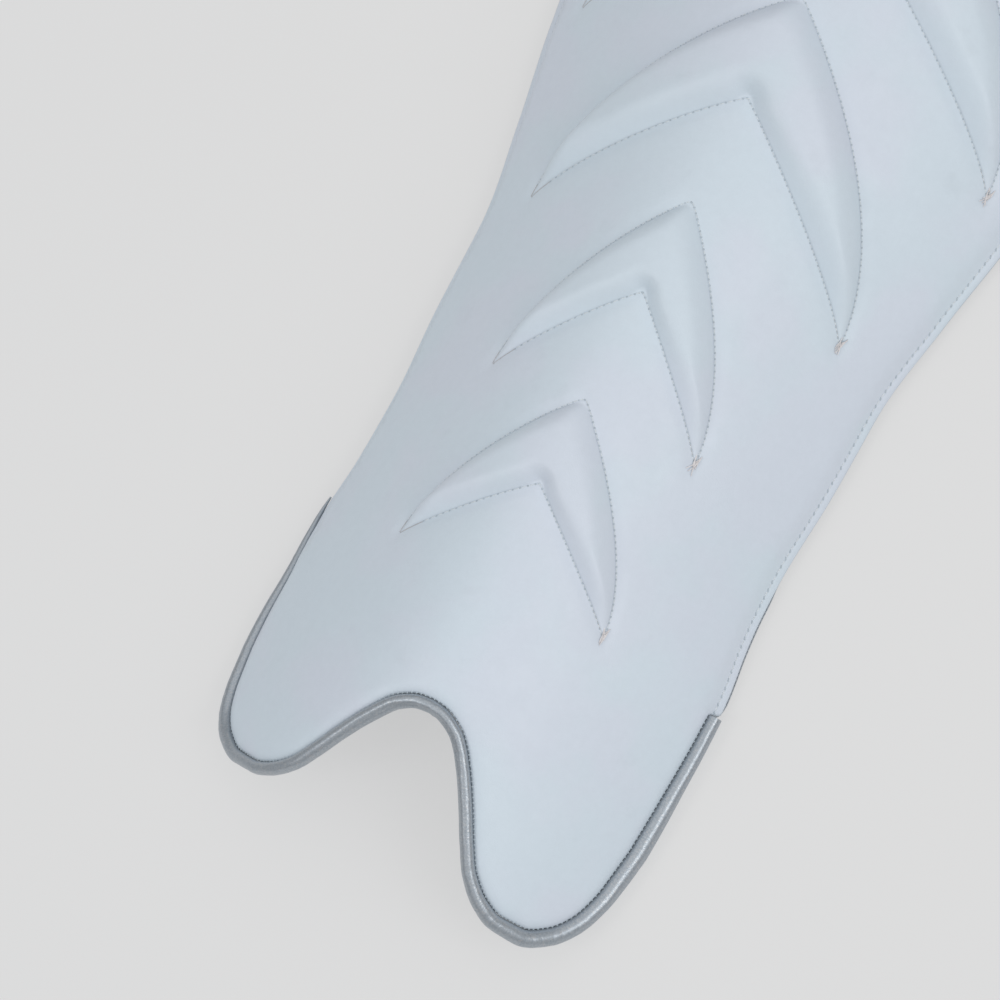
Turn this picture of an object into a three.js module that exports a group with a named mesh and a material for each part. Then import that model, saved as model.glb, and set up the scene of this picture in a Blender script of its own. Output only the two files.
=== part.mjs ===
import * as THREE from 'three';

// A wicket-keeping leg guard, lying face up on the edges of its hollow.
// Millimetres. +X is the guard's right side in the photo, +Y runs from the instep to the knee, +Z is up.
// The origin is the middle of the surface that it lies on.
// A station is a distance up the guard from its foot end. A side runs from -1 at the left rim to 1 at the right.

// Overall sizes
const LENGTH = 615;
const MIDDLE_STATION = 309;
const CREST_HEIGHT = 80;
const EDGE_HEIGHT = 6;
const SECTION_POWER = 1.55;
const CREST_SOFTNESS = 0.12;

// The padded wall, thin where it is sewn shut along its rim
const PAD_THICKNESS = 13;
const RIM_THICKNESS = 4.5;
const RIM_TAPER = 26;
const LINING_THICKNESS = 2;
const LINING_SHOWS = 1.2;
const LINING_SET_BACK = 2;
const RIM_ROWS = 14;
const TOP_ROWS = 530;
const GAP = 0.4;

// The rolled piping round the instep
const PIPING_WIDTH = 6.8;
const PIPING_DEPTH = 9;
const PIPING_FACETS = 10;
const PIPING_GAP = 0.5;
const PIPING_END = 130;
const SHOULDER_START = 132;
const PIPING_STEP = 9;
const PIPING_SIDE_STEP = 0.04;
const PIPED_RIM = 0.957;
const RIM_SHOULDER = 8;

// The instep: the photo's right lobe is the longer one, and its notch lies a little to that side
const LONGER_LOBE = 10;
const LOBE_ROOT = 63;
const LOBE_LENGTH = 45;
const NOTCH_SHIFT = 0.04;
const INSTEP_DROOP = 15;
const DROOP_START = 103;
const DROOP_LENGTH = 110;

// The top edge
const TOP_CORNER = 62;
const TOP_POWER = 4;

// The raised chevrons
const CHEVRON_SEAT = 0.85;
const CHEVRON_RISE = 4.6;
const CHEVRON_EDGE = 1;
const CHEVRON_TAPER = 0.22;
const CHEVRON_TIP = 1.5;
const CHEVRON_STEPS = 12;

// The straps across the open back
const STRAP_THICKNESS = 2.5;
const STRAP_WIDTH = 38;
const STRAP_SEWN = 24;
const STRAP_SEAT = 1.1;
const STRAP_REACH = 0.93;
const STRAP_SEWN_STEPS = 4;
const STRAP_FOLD_STEPS = 6;

// Half widths of the outline, lying at rest
const OUTLINE = [
  { station: 0, halfWidth: 99 },
  { station: 40, halfWidth: 104 },
  { station: 83, halfWidth: 106.4 },
  { station: 128, halfWidth: 105.4 },
  { station: 163, halfWidth: 101.4 },
  { station: 195, halfWidth: 99.9 },
  { station: 240, halfWidth: 101 },
  { station: 283, halfWidth: 102.8 },
  { station: 333, halfWidth: 110.6 },
  { station: 383, halfWidth: 119.8 },
  { station: 443, halfWidth: 127.6 },
  { station: 500, halfWidth: 128.7 },
  { station: 560, halfWidth: 123.2 },
  { station: 615, halfWidth: 113.2 },
];

// The face's foot rim, from the middle of the notch to the side
const FOOT_RIM = [
  { side: 0, station: 77 },
  { side: 0.06, station: 76.4 },
  { side: 0.165, station: 71.6 },
  { side: 0.272, station: 60.1 },
  { side: 0.357, station: 47.3 },
  { side: 0.44, station: 33.7 },
  { side: 0.517, station: 24.6 },
  { side: 0.622, station: 19.8 },
  { side: 0.702, station: 18.6 },
  { side: 0.806, station: 20.3 },
  { side: 0.893, station: 24.8 },
  { side: 0.953, station: 31.5 },
  { side: 0.984, station: 41.6 },
  { side: 1, station: 60 },
];

// The chevrons, from the instep to the knee
const CHEVRONS = [
  { name: 'chevron_1', tipSide: 52.5, tip: 135.8, inner: 182, outer: 224, innerPower: 1.1, outerPower: 1.66 },
  { name: 'chevron_2', tipSide: 52, tip: 222, inner: 278, outer: 323.5, innerPower: 1.14, outerPower: 1.74 },
  { name: 'chevron_3', tipSide: 81, tip: 296.2, inner: 376, outer: 427, innerPower: 1.42, outerPower: 2.04 },
  { name: 'chevron_4', tipSide: 106, tip: 383, inner: 474, outer: 532, innerPower: 1.5, outerPower: 2.1 },
];

// How a chevron's height runs from its inner V line, with the steep flank, to its outer V line
const CHEVRON_PROFILE = [
  { across: 0, rise: 0 },
  { across: 0.15, rise: 0.88 },
  { across: 0.36, rise: 1 },
  { across: 0.6, rise: 0.85 },
  { across: 0.82, rise: 0.5 },
  { across: 1, rise: 0 },
];

const STRAPS = [
  { name: 'ankle_strap', station: 96 },
  { name: 'calf_strap', station: 262 },
  { name: 'knee_strap', station: 470 },
];

const FINISHES = {
  face: { color: 0xc6d1da, roughness: 0.5, metalness: 0 },
  chevron: { color: 0xccd7df, roughness: 0.5, metalness: 0 },
  lining: { color: 0x9aa3ab, roughness: 0.95, metalness: 0 },
  piping: { color: 0xa9b2bd, roughness: 0.35, metalness: 0.7 },
  strap: { color: 0xd9dde0, roughness: 0.9, metalness: 0 },
};

const clamp = THREE.MathUtils.clamp;
const smoothstep = THREE.MathUtils.smoothstep;

// Reads a value from a table by its key column, with a smooth curve through the rows.
function readTable(rows, keyName, valueName, key) {
  const last = rows.length - 1;
  const held = clamp(key, rows[0][keyName], rows[last][keyName]);
  let i = 0;
  while (i < last - 1 && rows[i + 1][keyName] < held) {
    i += 1;
  }
  const slope = (a, b) => (rows[b][valueName] - rows[a][valueName]) / (rows[b][keyName] - rows[a][keyName]);
  const here = slope(i, i + 1);
  const before = i > 0 ? slope(i - 1, i) : here;
  const after = i < last - 1 ? slope(i + 1, i + 2) : here;
  const step = rows[i + 1][keyName] - rows[i][keyName];
  const u = (held - rows[i][keyName]) / step;
  const startSlope = before * here > 0 ? 2 * before * here / (before + here) : 0;
  const endSlope = here * after > 0 ? 2 * here * after / (here + after) : 0;
  const rise = rows[i + 1][valueName] - rows[i][valueName];
  const bend = u * (1 - u) * ((1 - u) * (startSlope * step) - u * (endSlope * step));
  return rows[i][valueName] + rise * u * u * (3 - 2 * u) + bend;
}

// The section's fall from the crest, 0 there and 1 at the outline, with a rounded crest.
function sectionFall(side) {
  const soft = CREST_SOFTNESS ** 2;
  const fall = (value) => (value + soft) ** (SECTION_POWER / 2);
  return (fall(side * side) - fall(0)) / (fall(1) - fall(0));
}

function droopAt(station) {
  const along = Math.max(0, DROOP_START - station) / DROOP_LENGTH;
  return INSTEP_DROOP * along ** 1.5;
}

// A point of the face, where a spread of 1 is the outline itself.
function facePoint(spread, station) {
  const halfWidth = readTable(OUTLINE, 'station', 'halfWidth', station);
  const fall = sectionFall(spread);
  const crest = CREST_HEIGHT - droopAt(station) * (1 - fall);
  const height = EDGE_HEIGHT + (crest - EDGE_HEIGHT) * (1 - fall);
  return new THREE.Vector3(spread * halfWidth, station - MIDDLE_STATION, height);
}

function faceNormal(spread, station) {
  const reach = 0.004;
  const acrossFace = facePoint(spread + reach, station).sub(facePoint(spread - reach, station));
  const upFace = facePoint(spread, station + 1).sub(facePoint(spread, station - 1));
  return acrossFace.cross(upFace).normalize();
}

function pointUnder(spread, station, depth) {
  return facePoint(spread, station).addScaledVector(faceNormal(spread, station), -depth);
}

// The face stops short of the outline where the piping takes the rim's place.
function rimSpread(station) {
  return THREE.MathUtils.lerp(PIPED_RIM, 1, smoothstep(station, SHOULDER_START, SHOULDER_START + RIM_SHOULDER));
}

function footStation(side) {
  const shifted = side - NOTCH_SHIFT * (1 - Math.abs(side));
  const station = readTable(FOOT_RIM, 'side', 'station', Math.abs(shifted));
  const longer = side > 0 ? LONGER_LOBE * clamp((LOBE_ROOT - station) / LOBE_LENGTH, 0, 1) : 0;
  return station - longer;
}

function topStation(side) {
  return LENGTH - TOP_CORNER * (1 - Math.sqrt(Math.max(0, 1 - Math.abs(side) ** TOP_POWER)));
}

// The pad's thickness grows from its sewn rim to its middle.
function padThickness(side, station) {
  const halfWidth = readTable(OUTLINE, 'station', 'halfWidth', station);
  const fromSide = (1 - Math.abs(side)) * halfWidth * 1.4;
  const fromFoot = (station - footStation(side)) * 0.8;
  const fromTop = topStation(side) - station;
  const fromRim = Math.min(fromSide, fromFoot, fromTop);
  return THREE.MathUtils.lerp(RIM_THICKNESS, PAD_THICKNESS, smoothstep(fromRim, 0, RIM_TAPER));
}

// The pad's columns, closer together near its side rims
const SIDE_STEP = 0.05;
const PAD_SIDES = [-1, -0.985];
for (let i = -19; i <= 19; i += 1) {
  PAD_SIDES.push(i * SIDE_STEP);
}
PAD_SIDES.push(0.985, 1);

// The pad's rows along one column. They follow the foot and the top rim, and run straight across between.
function rowStations(side) {
  const foot = footStation(side);
  const zones = [
    { from: foot, to: foot + RIM_ROWS, count: 2 },
    { from: foot + RIM_ROWS, to: SHOULDER_START, count: 3 },
    { from: SHOULDER_START, to: SHOULDER_START + RIM_SHOULDER, count: 1 },
    { from: SHOULDER_START + RIM_SHOULDER, to: TOP_ROWS, count: 10 },
    { from: TOP_ROWS, to: topStation(side), count: 3 },
  ];
  const stations = zones.flatMap(({ from, to, count }) => (
    Array.from({ length: count }, (_, i) => THREE.MathUtils.lerp(from, to, i / count))
  ));
  stations.push(topStation(side));
  return stations;
}

// Joins an outer and an inner grid of points, [row][column], into one closed wall.
function wallGeometry(outer, inner) {
  const rowCount = outer.length;
  const columnCount = outer[0].length;
  const positions = [];
  for (const grid of [outer, inner]) {
    for (const row of grid) {
      for (const point of row) {
        positions.push(point.x, point.y, point.z);
      }
    }
  }
  const outerAt = (r, c) => r * columnCount + c;
  const innerAt = (r, c) => (rowCount + r) * columnCount + c;
  const indices = [];
  const addQuad = (a, b, c, d) => indices.push(a, b, c, a, c, d);
  for (let r = 0; r < rowCount - 1; r += 1) {
    for (let c = 0; c < columnCount - 1; c += 1) {
      addQuad(outerAt(r, c), outerAt(r, c + 1), outerAt(r + 1, c + 1), outerAt(r + 1, c));
      addQuad(innerAt(r, c), innerAt(r + 1, c), innerAt(r + 1, c + 1), innerAt(r, c + 1));
    }
  }
  const lastColumn = columnCount - 1;
  for (let r = 0; r < rowCount - 1; r += 1) {
    addQuad(outerAt(r, 0), outerAt(r + 1, 0), innerAt(r + 1, 0), innerAt(r, 0));
    addQuad(outerAt(r, lastColumn), innerAt(r, lastColumn), innerAt(r + 1, lastColumn), outerAt(r + 1, lastColumn));
  }
  const lastRow = rowCount - 1;
  for (let c = 0; c < lastColumn; c += 1) {
    addQuad(outerAt(0, c), innerAt(0, c), innerAt(0, c + 1), outerAt(0, c + 1));
    addQuad(outerAt(lastRow, c), outerAt(lastRow, c + 1), innerAt(lastRow, c + 1), innerAt(lastRow, c));
  }
  const geometry = new THREE.BufferGeometry();
  geometry.setAttribute('position', new THREE.Float32BufferAttribute(positions, 3));
  geometry.setIndex(indices);
  geometry.computeVertexNormals();
  return geometry;
}

// Joins rings of points, one after the other, into one closed roll with flat ends.
function rollGeometry(points, facets) {
  const ringCount = points.length / facets;
  const indices = [];
  for (let r = 0; r < ringCount - 1; r += 1) {
    for (let k = 0; k < facets; k += 1) {
      const a = r * facets + k;
      const b = r * facets + (k + 1) % facets;
      indices.push(a, b + facets, b, a, a + facets, b + facets);
    }
  }
  const lastRing = (ringCount - 1) * facets;
  for (let k = 1; k < facets - 1; k += 1) {
    indices.push(0, k, k + 1, lastRing, lastRing + k + 1, lastRing + k);
  }
  const geometry = new THREE.BufferGeometry().setFromPoints(points);
  geometry.setIndex(indices);
  geometry.computeVertexNormals();
  return geometry;
}

// A grid of points at a depth under the face.
function padGrid(depthAt) {
  const columns = PAD_SIDES.map((side) => rowStations(side).map((station) => (
    pointUnder(side * rimSpread(station), station, depthAt(side, station))
  )));
  return columns[0].map((_, row) => columns.map((column) => column[row]));
}

// Moves a point away from its neighbour by a distance, or toward it where the distance is negative.
function movedFrom(neighbour, point, distance) {
  const away = point.clone().sub(neighbour).normalize();
  return point.clone().addScaledVector(away, distance);
}

// The lining stands out a little past the rims, but stops short of the piping.
function liningGrid(depthAt) {
  const grid = padGrid(depthAt);
  const lastRow = grid.length - 1;
  const lastColumn = grid[0].length - 1;
  for (const row of grid) {
    const station = row[0].y + MIDDLE_STATION;
    const shows = LINING_SHOWS * smoothstep(station, SHOULDER_START, SHOULDER_START + RIM_SHOULDER);
    row[0] = movedFrom(row[1], row[0], shows);
    row[lastColumn] = movedFrom(row[lastColumn - 1], row[lastColumn], shows);
  }
  grid[0] = grid[0].map((point, c) => movedFrom(grid[1][c], point, -LINING_SET_BACK));
  grid[lastRow] = grid[lastRow].map((point, c) => movedFrom(grid[lastRow - 1][c], point, LINING_SHOWS));
  return grid;
}

function makeFrontShell() {
  return wallGeometry(padGrid(() => 0), padGrid(padThickness));
}

function makeBackLining() {
  const upper = (side, station) => padThickness(side, station) + GAP;
  const lower = (side, station) => upper(side, station) + LINING_THICKNESS;
  return wallGeometry(liningGrid(upper), liningGrid(lower));
}

// The face's V lines: a point on one of them, tip to tip through the apex, as a place on the face.
function chevronLine(chevron, along, apex, power, tipShift) {
  const climb = 1 - Math.abs(along);
  const tip = chevron.tip + tipShift;
  const station = tip + (apex - tip) * climb;
  const lateral = Math.sign(along) * chevron.tipSide * (1 - climb ** power);
  return { lateral, station };
}

// A chevron is a pad that follows the face between its two V lines.
function makeChevron(chevron) {
  const lower = [];
  const upper = [];
  for (let i = -CHEVRON_STEPS; i <= CHEVRON_STEPS; i += 1) {
    const along = i / CHEVRON_STEPS;
    const inner = chevronLine(chevron, along, chevron.inner, chevron.innerPower, -CHEVRON_TIP);
    const outer = chevronLine(chevron, along, chevron.outer, chevron.outerPower, CHEVRON_TIP);
    const fullness = smoothstep(1 - Math.abs(along), 0, CHEVRON_TAPER);
    const lowerRow = [];
    const upperRow = [];
    for (const { across, rise } of CHEVRON_PROFILE) {
      const lateral = THREE.MathUtils.lerp(inner.lateral, outer.lateral, across);
      const station = THREE.MathUtils.lerp(inner.station, outer.station, across);
      const spread = lateral / readTable(OUTLINE, 'station', 'halfWidth', station);
      const height = CHEVRON_SEAT + CHEVRON_EDGE + (CHEVRON_RISE - CHEVRON_EDGE) * rise * fullness;
      lowerRow.push(pointUnder(spread, station, -CHEVRON_SEAT));
      upperRow.push(pointUnder(spread, station, -height));
    }
    lower.push(lowerRow);
    upper.push(upperRow);
  }
  return wallGeometry(lower, upper);
}

// The places on the rim that the piping follows, from its left end round the instep to its right end
function pipedRim() {
  const sideFoot = FOOT_RIM.at(-1).station;
  const sideRun = Math.ceil((PIPING_END - sideFoot) / PIPING_STEP);
  const upSide = Array.from({ length: sideRun }, (_, i) => (
    THREE.MathUtils.lerp(sideFoot, PIPING_END, (i + 1) / sideRun)
  ));
  const corner = [0.92, 0.95, 0.97, 0.985, 0.994, 1];
  const sides = corner.map((side) => -side).reverse();
  for (let i = -22; i <= 22; i += 1) {
    sides.push(i * PIPING_SIDE_STEP);
  }
  sides.push(...corner);
  return [
    ...upSide.map((station) => ({ side: -1, station })).reverse(),
    ...sides.map((side) => ({ side, station: footStation(side) })),
    ...upSide.map((station) => ({ side: 1, station })),
  ];
}

// The piping is an oval roll beside the rim, deeper than it is wide, and clear of the surface it lies over.
function makeInstepPiping() {
  const depth = (RIM_THICKNESS + GAP + LINING_THICKNESS) / 2;
  const places = pipedRim().map(({ side, station }) => {
    const spread = side * rimSpread(station);
    return { rim: pointUnder(spread, station, depth), normal: faceNormal(spread, station) };
  });
  const ringPoints = [];
  places.forEach(({ rim, normal }, i) => {
    const before = places[Math.max(0, i - 1)].rim;
    const after = places[Math.min(places.length - 1, i + 1)].rim;
    const outward = after.clone().sub(before).cross(normal).normalize();
    const centre = rim.clone().addScaledVector(outward, PIPING_WIDTH / 2 + PIPING_GAP);
    for (let k = 0; k < PIPING_FACETS; k += 1) {
      const angle = 2 * Math.PI * k / PIPING_FACETS;
      const point = centre.clone();
      point.addScaledVector(outward, PIPING_WIDTH / 2 * Math.cos(angle));
      point.addScaledVector(normal, PIPING_DEPTH / 2 * Math.sin(angle));
      ringPoints.push(point);
    }
  });
  return rollGeometry(ringPoints, PIPING_FACETS);
}

// A strap is sewn to the lining beside each rim, folds back there and lies flat across the open back.
function strapCourse(station) {
  const underWall = (side) => {
    const depth = padThickness(side, station) + GAP + LINING_THICKNESS + STRAP_SEAT + STRAP_THICKNESS / 2;
    return pointUnder(side * rimSpread(station), station, depth);
  };
  const sewnRun = STRAP_SEWN / readTable(OUTLINE, 'station', 'halfWidth', station);
  const course = [];
  for (let i = 0; i <= STRAP_SEWN_STEPS; i += 1) {
    course.push(underWall(STRAP_REACH - sewnRun * (1 - i / STRAP_SEWN_STEPS)));
  }
  const fold = course.at(-1);
  const floorHeight = STRAP_THICKNESS / 2;
  const radius = (fold.z - floorHeight) / 2;
  for (let i = 1; i <= STRAP_FOLD_STEPS; i += 1) {
    const angle = Math.PI * (0.5 - i / STRAP_FOLD_STEPS);
    const x = fold.x + radius * Math.cos(angle);
    const z = floorHeight + radius * (1 + Math.sin(angle));
    course.push(new THREE.Vector3(x, fold.y, z));
  }
  const mirrored = course.map((point) => new THREE.Vector3(-point.x, point.y, point.z));
  return [...mirrored, ...course.reverse()];
}

function makeStrap(strap) {
  const outer = [];
  const inner = [];
  for (const across of [-0.5, 0, 0.5]) {
    const course = strapCourse(strap.station + across * STRAP_WIDTH);
    const offset = (distance) => course.map((point, i) => {
      const before = course[Math.max(0, i - 1)];
      const after = course[Math.min(course.length - 1, i + 1)];
      const normal = new THREE.Vector3(before.z - after.z, 0, after.x - before.x).normalize();
      return point.clone().addScaledVector(normal, distance);
    });
    outer.push(offset(STRAP_THICKNESS / 2));
    inner.push(offset(-STRAP_THICKNESS / 2));
  }
  return wallGeometry(outer, inner);
}

const part = new THREE.Group();

function addPiece(name, geometry, finish) {
  const mesh = new THREE.Mesh(geometry, new THREE.MeshStandardMaterial(finish));
  mesh.name = name;
  part.add(mesh);
}

addPiece('front_shell', makeFrontShell(), FINISHES.face);
addPiece('back_lining', makeBackLining(), FINISHES.lining);
for (const chevron of CHEVRONS) {
  addPiece(chevron.name, makeChevron(chevron), FINISHES.chevron);
}
addPiece('instep_piping', makeInstepPiping(), FINISHES.piping);
for (const strap of STRAPS) {
  addPiece(strap.name, makeStrap(strap), FINISHES.strap);
}

export default part;
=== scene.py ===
import math

import bpy
import numpy as np
from mathutils import Matrix, Vector, noise
from mathutils.geometry import delaunay_2d_cdt
from mathutils.kdtree import KDTree


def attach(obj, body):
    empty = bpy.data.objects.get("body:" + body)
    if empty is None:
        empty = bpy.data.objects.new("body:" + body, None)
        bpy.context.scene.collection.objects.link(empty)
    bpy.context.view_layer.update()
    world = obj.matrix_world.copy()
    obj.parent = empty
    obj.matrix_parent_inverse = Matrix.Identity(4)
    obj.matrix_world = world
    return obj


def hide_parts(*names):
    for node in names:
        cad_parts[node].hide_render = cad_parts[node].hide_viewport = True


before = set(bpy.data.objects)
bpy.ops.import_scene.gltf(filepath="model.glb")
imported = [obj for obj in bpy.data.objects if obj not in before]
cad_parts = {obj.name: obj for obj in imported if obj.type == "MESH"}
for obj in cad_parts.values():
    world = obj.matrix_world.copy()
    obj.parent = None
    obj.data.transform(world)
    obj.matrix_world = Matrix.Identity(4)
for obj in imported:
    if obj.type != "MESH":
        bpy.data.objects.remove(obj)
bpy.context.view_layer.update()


# The view. The guard lies face up, and the camera looks down on its instep, a little from the guard's right.
# The knee leans to the right in the picture and runs out of it.
INSTEP_CREST = Vector((0, -0.226, 0.080))
AIM_UP_GUARD = 0.08336
AIM_ACROSS_GUARD = -0.01165
VIEW_TO_RIGHT = math.radians(15.149)
VIEW_TO_KNEE = math.radians(-4.637)
PICTURE_LEAN = math.radians(28.361)
VIEW_DISTANCE = 1.6843
LENS = 139.46
SENSOR = 36

to_camera = Vector((
    math.sin(VIEW_TO_RIGHT) * math.cos(VIEW_TO_KNEE),
    math.sin(VIEW_TO_KNEE),
    math.cos(VIEW_TO_RIGHT) * math.cos(VIEW_TO_KNEE),
))
up_guard = (Vector((0, 1, 0)) - to_camera * to_camera.y).normalized()
across_guard = up_guard.cross(to_camera)
aim = INSTEP_CREST + up_guard * AIM_UP_GUARD + across_guard * AIM_ACROSS_GUARD
picture_right = across_guard * math.cos(PICTURE_LEAN) + up_guard * math.sin(PICTURE_LEAN)
picture_up = up_guard * math.cos(PICTURE_LEAN) - across_guard * math.sin(PICTURE_LEAN)

bpy.ops.object.camera_add(
    location=aim + to_camera * VIEW_DISTANCE,
    rotation=Matrix((picture_right, picture_up, to_camera)).transposed().to_euler(),
)
camera = bpy.context.object
camera.name = "camera"
camera.data.lens = LENS
camera.data.sensor_width = SENSOR
bpy.context.scene.camera = camera


# The padded shell is white coated leather over foam, sewn shut along its rim. Each seam pulls the leather down:
# the V lines of the chevrons, the stitched turned edge of the sides and the top, and the seam of the piping.
# Stations run up the guard from its foot end, and a side runs from -1 at the left rim to 1 at the right.
LENGTH = 0.615
MIDDLE_STATION = 0.309
CREST_HEIGHT = 0.080
EDGE_HEIGHT = 0.0066
SECTION_POWER = 1.55
CREST_SOFTNESS = 0.12
PAD_THICKNESS = 0.013
RIM_THICKNESS = 0.0045
RIM_TAPER = 0.026
SIDE_RUN = 1.4
FOOT_RUN = 0.8
LONGER_LOBE = 0.0098
LOBE_ROOT = 0.063
LOBE_LENGTH = 0.050
LOBE_TURN = 0.5
LOBE_MIDDLE = 0.7
NOTCH_SHIFT = 0.036
LOBE_LEAN = 0.0016
RIGHT_LEAN = 0.0008
RIGHT_FLARE = 0.0017
LOBE_LEAN_FADES = (0.080, 0.160)
RIGHT_LEAN_FADES = (0.210, 0.270)
FLARE_RISES = (0.065, 0.120)
FLARE_FADES = (0.140, 0.180)
INSTEP_DROOP = 0.015
DROOP_START = 0.103
DROOP_LENGTH = 0.110
DROOP_POWER = 1.5
TOP_CORNER = 0.062
TOP_POWER = 4
PIPED_RIM = 0.957
PIPING_END = 0.130
LEFT_PIPING_END = 0.139
SHOULDER_START = 0.1304
SHOULDER_END = 0.1316
LEFT_SHOULDER_START = 0.092
LEFT_SHOULDER_END = 0.140
RIGHT_ROLL_END = SHOULDER_START - 0.002
RIGHT_ROLL_FADE = 0.003
LEFT_ROLL_END = LEFT_SHOULDER_START + 0.014
LEFT_ROLL_FADE = LEFT_SHOULDER_END - LEFT_SHOULDER_START - 0.020
OUTLINE = [
    {"station": 0.000, "half_width": 0.0990},
    {"station": 0.040, "half_width": 0.1040},
    {"station": 0.083, "half_width": 0.1064},
    {"station": 0.128, "half_width": 0.1064},
    {"station": 0.163, "half_width": 0.1041},
    {"station": 0.195, "half_width": 0.1034},
    {"station": 0.240, "half_width": 0.1057},
    {"station": 0.283, "half_width": 0.1064},
    {"station": 0.333, "half_width": 0.1139},
    {"station": 0.383, "half_width": 0.1230},
    {"station": 0.443, "half_width": 0.1302},
    {"station": 0.500, "half_width": 0.1305},
    {"station": 0.560, "half_width": 0.1242},
    {"station": 0.615, "half_width": 0.1132},
]
FOOT_RIM = [
    {"side": 0.000, "station": 0.0763},
    {"side": 0.060, "station": 0.0757},
    {"side": 0.165, "station": 0.0709},
    {"side": 0.272, "station": 0.0590},
    {"side": 0.357, "station": 0.0471},
    {"side": 0.440, "station": 0.0347},
    {"side": 0.517, "station": 0.0252},
    {"side": 0.622, "station": 0.0184},
    {"side": 0.702, "station": 0.0162},
    {"side": 0.806, "station": 0.0166},
    {"side": 0.893, "station": 0.0211},
    {"side": 0.953, "station": 0.0290},
    {"side": 0.984, "station": 0.0406},
    {"side": 1.000, "station": 0.0600},
]
CHEVRONS = [
    dict(
        tip_side=0.0525, tip=0.1358, inner=0.182, outer=0.2240,
        inner_power=1.10, outer_power=1.66, rise=0.0060, flank=0.0080,
    ),
    dict(
        tip_side=0.0520, tip=0.2220, inner=0.278, outer=0.3235,
        inner_power=1.14, outer_power=1.74, rise=0.0062, flank=0.0082,
    ),
    dict(
        tip_side=0.0800, tip=0.3008, inner=0.376, outer=0.4270,
        inner_power=1.22, outer_power=1.92, rise=0.0078, flank=0.0106,
    ),
    dict(
        tip_side=0.1050, tip=0.3925, inner=0.474, outer=0.5320,
        inner_power=1.26, outer_power=1.95, rise=0.0080, flank=0.0110,
    ),
]
INNER_BLUNT = 0.0008
OUTER_BLUNT = 0.0012
# How far the leather sinks along the seams, and how wide
SEAM_DIP = 0.0007
SEAM_DIP_WIDTH = 0.0065
SEAM_CREASE = 0.00010
SEAM_CREASE_WIDTH = 0.0009
RECESS = 0.00025
RECESS_START = 0.0005
EDGE_STITCH_IN = 0.0045
RIGHT_EDGE_DIP = 0.0021
RIGHT_EDGE_DIP_END = 0.0135
LEFT_EDGE_DIP = 0.0032
LEFT_EDGE_DIP_END = 0.0100
EDGE_DIP_TURNS = 0.03
EDGE_GROOVE = 0.0004
EDGE_GROOVE_WIDTH = 0.0009
EDGE_ROUND = 0.0008
PIPED_ROLL = 0.0030
PIPED_ROLL_WIDTH = 0.0075
# How far the foam pushes the leather out, how far from a seam it is free to, and how uneven it is
PUFF_LIMIT = 0.0018
PUFF_FREE = 0.022
PUFF_HELD = 0.002
PUFF_SMOOTHING = 30
PUFF_COLUMNS = 61
PUFF_ROWS = 121
PUFF_NEIGHBOURS = 5
SEWN_WIDTH = 0.006
FOAM_PRESSURE = 4
FOAM_FRAMES = 20
UNEVEN = 0.00035
LUMPS = 22
SMALL_LUMPS = 61
SMALL_LUMP_SHARE = 0.4
# The net of the mesh: its spacing in the open, and the rings that follow the seams
OPEN_STEP = 0.0038
RIM_STEP = 0.0015
SEAM_STEP = 0.00125
RIM_RINGS = [0.0004, 0.0010, 0.0018, 0.0028, 0.0039, 0.0045, 0.0052, 0.0064, 0.0080, 0.0100, 0.0124, 0.0152]
SEAM_RINGS = [0.0005, 0.0011, 0.0019, 0.0030, 0.0045, 0.0064]
NEAR_SEAM = 0.0082
NEAR_RIM = 0.0180
RING_CLEAR = 0.96
RIM_RING_THINNING = 0.003
SEAM_RING_THINNING = 0.002
RIM_RING_TO_SEAM = 0.001
SEAM_RING_TO_RIM = 0.004


def read_table(rows, key, value, at):
    """A smooth curve through a table's rows, which never passes beyond two neighbours."""
    keys = np.array([row[key] for row in rows])
    values = np.array([row[value] for row in rows])
    held = np.clip(at, keys[0], keys[-1])
    slope = np.diff(values) / np.diff(keys)
    before = np.concatenate([slope[:1], slope])
    after = np.concatenate([slope, slope[-1:]])
    same_way = before * after > 0
    tangent = np.where(same_way, 2 * before * after / np.where(same_way, before + after, 1), 0)
    i = np.clip(np.searchsorted(keys, held, side="right") - 1, 0, len(keys) - 2)
    step = keys[i + 1] - keys[i]
    u = (held - keys[i]) / step
    rise = values[i + 1] - values[i]
    bend = u * (1 - u) * step * ((1 - u) * tangent[i] - u * tangent[i + 1])
    return values[i] + rise * u * u * (3 - 2 * u) + bend


def eased(value, low, high):
    """0 up to low, 1 from high on, and a smooth rise between."""
    u = np.clip((value - low) / (high - low), 0, 1)
    return u * u * (3 - 2 * u)


def section_fall(spread):
    """The section's fall from the crest: 0 there and 1 at the outline, with a rounded crest."""
    soft = CREST_SOFTNESS ** 2
    half = SECTION_POWER / 2
    return ((spread ** 2 + soft) ** half - soft ** half) / ((1 + soft) ** half - soft ** half)


def half_width_at(station):
    return read_table(OUTLINE, "station", "half_width", station)


def face_point(spread, station):
    """A point of the plain face, before any seam or foam shapes it. A spread of 1 is the outline.

    Near the foot the left rim leans out and the right rim leans in, with a flare above the right lobe.
    """
    fall = section_fall(spread)
    droop = INSTEP_DROOP * (np.maximum(0, DROOP_START - station) / DROOP_LENGTH) ** DROOP_POWER
    crest = CREST_HEIGHT - droop * (1 - fall)
    height = EDGE_HEIGHT + (crest - EDGE_HEIGHT) * (1 - fall)
    on_left = LOBE_LEAN * (1 - eased(station, *LOBE_LEAN_FADES))
    flare = eased(station, *FLARE_RISES) * (1 - eased(station, *FLARE_FADES))
    on_right = RIGHT_LEAN * (1 - eased(station, *RIGHT_LEAN_FADES)) - RIGHT_FLARE * flare
    lean = on_left * eased(-spread, 0.5, 1) + on_right * eased(spread, 0.5, 1)
    return np.stack([spread * half_width_at(station) - lean, station - MIDDLE_STATION, height], -1)


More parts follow.
